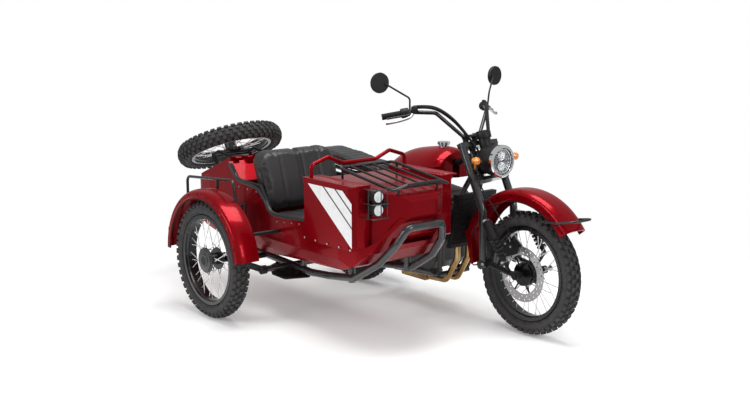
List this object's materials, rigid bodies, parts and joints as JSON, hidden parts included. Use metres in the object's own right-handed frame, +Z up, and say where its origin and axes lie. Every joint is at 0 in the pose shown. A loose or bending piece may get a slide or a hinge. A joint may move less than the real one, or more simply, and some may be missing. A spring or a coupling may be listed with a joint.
{
  "type": "sidecar motorcycle",
  "caption": "Motorcycle with a sidecar: steered front wheel, driven rear wheel, side wheel, open passenger hull, boot lid with spare wheel.",
  "frame": {"origin": "on the ground under the middle of the bounding box", "axes": "+X forwards, +Y to the rider's left, +Z up; the sidecar is on the -Y side"},
  "size_m": [2.6589, 1.7077, 1.3628],
  "materials": {
    "red_paint": "deep candy red gloss",
    "black_paint": "black gloss",
    "grey_tube": "dark grey gloss",
    "tyre_rubber": "matt black, block tread",
    "hub_alloy": "satin",
    "disc_steel": "brushed",
    "bright_chrome": "mirror",
    "header_steel": "heat-tinted golden brown",
    "engine_alloy": "satin dark grey",
    "black_rubber": "matt",
    "black_leather": "satin, padded channels",
    "lamp_glass": "clear",
    "red_lens": "gloss",
    "amber_lens": "gloss",
    "black_plastic": "satin"
  },
  "bodies": {
    "root": {"frame": "black_paint", "engine": "engine_alloy", "radiator": "black_plastic", "exhaust_pipes": "header_steel", "muffler": "black_paint", "fuel_tank": "red_paint", "fuel_cap": "bright_chrome", "saddle": "black_leather", "side_covers": "black_plastic", "rear_fender": "red_paint", "tail_lamp": "red_lens", "swing_arm": "black_paint", "rear_shocks": "black_paint", "chain": "disc_steel", "foot_pegs": "black_rubber", "hull": "red_paint", "cowl": "red_paint", "cowl_boxes": "red_paint", "cockpit_trim": "black_rubber", "seat_base": "black_leather", "seat_back": "black_leather", "grab_rail": "red_paint", "luggage_rack": "black_paint", "spot_lamps": "black_plastic", "lamp_guard": "bright_chrome", "side_chassis": "grey_tube", "side_suspension": "black_paint", "side_fender": "red_paint", "fender_rail": "black_paint", "fender_lamp": "amber_lens", "side_step": "black_rubber"},
    "steering": {"fork": "grey_tube", "leading_links": "black_paint", "front_shocks": "black_rubber", "brake_calliper": "black_paint", "front_fender": "red_paint", "fender_loop": "black_paint", "handlebar": "black_paint", "grips": "black_rubber", "mirrors": "black_plastic", "headlamp_shell": "black_plastic", "headlamp_ring": "bright_chrome", "headlamp_lens": "lamp_glass", "instrument": "black_plastic", "indicators": "amber_lens"},
    "front_wheel": {"front_tyre": "tyre_rubber", "front_rim": "black_paint", "front_hub": "hub_alloy", "front_disc": "disc_steel"},
    "rear_wheel": {"rear_tyre": "tyre_rubber", "rear_rim": "black_paint", "rear_hub": "hub_alloy"},
    "side_wheel": {"side_tyre": "tyre_rubber", "side_rim": "black_paint", "side_hub": "hub_alloy"},
    "boot_lid": {"boot_lid": "red_paint", "spare_carrier": "black_paint", "spare_tyre": "tyre_rubber", "spare_rim": "black_paint", "spare_hub": "hub_alloy"}
  },
  "joints": [
    {"name": "steering", "type": "hinge", "parent": "root", "child": "steering", "pos_m": [0.54248, 0.36501, 0.9], "axis": [-0.454, 0, 0.891], "range_deg": [-35, 35]},
    {"name": "front_wheel_spin", "type": "hinge", "parent": "steering", "child": "front_wheel", "pos_m": [0.97505, 0.36501, 0.33], "axis": [0, 1, 0], "continuous": true},
    {"name": "rear_wheel_spin", "type": "hinge", "parent": "root", "child": "rear_wheel", "pos_m": [-0.49495, 0.36501, 0.33], "axis": [0, 1, 0], "continuous": true},
    {"name": "side_wheel_spin", "type": "hinge", "parent": "root", "child": "side_wheel", "pos_m": [-0.34495, -0.78499, 0.33], "axis": [0, 1, 0], "continuous": true},
    {"name": "boot_lid_hinge", "type": "hinge", "parent": "root", "child": "boot_lid", "pos_m": [-0.52495, -0.23999, 0.8483], "axis": [0, 1, 0], "range_deg": [0, 60]}
  ]
}
